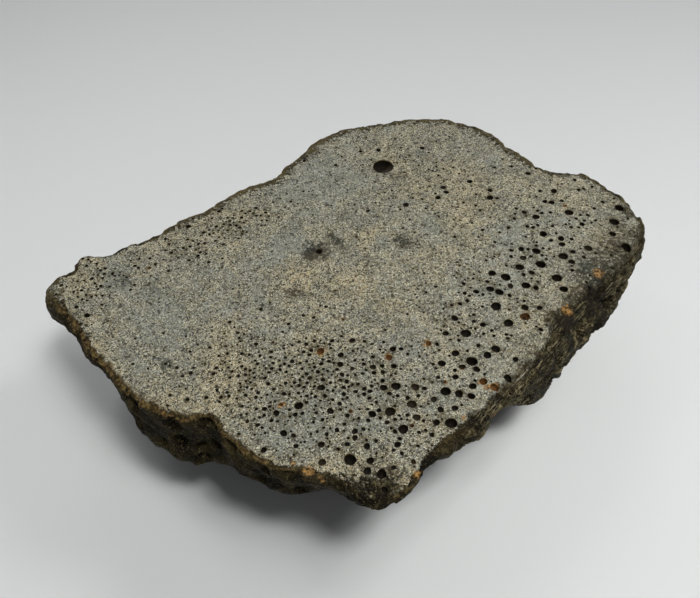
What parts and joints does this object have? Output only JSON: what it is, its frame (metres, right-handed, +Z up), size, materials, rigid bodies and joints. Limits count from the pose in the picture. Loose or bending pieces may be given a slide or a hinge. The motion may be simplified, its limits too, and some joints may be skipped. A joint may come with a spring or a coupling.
{
  "type": "eucrite meteorite end cut",
  "caption": "Sawn end piece of a vesicular eucrite: a flat grey cut face full of round gas bubbles, with natural dark crust around and below it.",
  "frame": {"origin": "middle of the stone's bounding box, on the surface that it lies on", "axes": "+X along the stone's length, away from its narrow nose; +Z up, out of the cut face"},
  "size_m": [0.1246, 0.104, 0.027],
  "materials": {
    "stone": "matte sawn face, dark brown to black crust"
  },
  "bodies": {
    "root": {"stone": "stone"}
  },
  "joints": []
}
